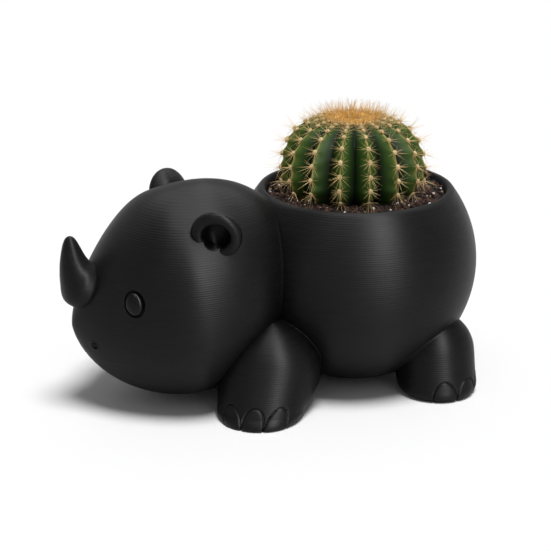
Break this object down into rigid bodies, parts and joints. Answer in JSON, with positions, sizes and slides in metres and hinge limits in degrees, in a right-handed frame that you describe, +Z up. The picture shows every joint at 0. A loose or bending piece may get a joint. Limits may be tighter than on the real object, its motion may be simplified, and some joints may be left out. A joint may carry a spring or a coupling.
{
  "type": "rhinoceros shaped planter",
  "caption": "Plant pot in the shape of a standing rhinoceros, printed in black plastic, holding a potted barrel cactus that lifts out.",
  "frame": {"origin": "on the ground under the middle of the whole part's box", "axes": "+Z up, -Y the way the animal looks, +X its left side; the plant's axis stands 40.5 mm behind the origin"},
  "size_m": [0.1126, 0.1967, 0.122],
  "materials": {
    "body_plastic": "black printed plastic with fine layer lines, satin",
    "eye_plastic": "black plastic, a little smoother",
    "leg_plastic": "black printed plastic with fine layer lines, satin",
    "potting_mix": "loose gritty potting mix",
    "cactus_flesh": "waxy green skin",
    "cactus_wool": "matted cream wool",
    "cactus_spines": "dry golden spines"
  },
  "bodies": {
    "planter": {"pot_shell": "body_plastic", "head_shell": "body_plastic", "horn": "body_plastic", "left_ear": "body_plastic", "right_ear": "body_plastic", "left_eye": "eye_plastic", "right_eye": "eye_plastic", "front_left_leg": "leg_plastic", "front_right_leg": "leg_plastic", "rear_left_leg": "leg_plastic", "rear_right_leg": "leg_plastic", "tail": "body_plastic"},
    "plant": {"potting_mix": "potting_mix", "cactus_body": "cactus_flesh", "cactus_crown": "cactus_wool", "cactus_spines": "cactus_spines"}
  },
  "joints": [
    {"name": "plant_lift", "type": "slide", "parent": "planter", "child": "plant", "axis": [0, 0, 1], "range_m": [0, 0.09]}
  ]
}
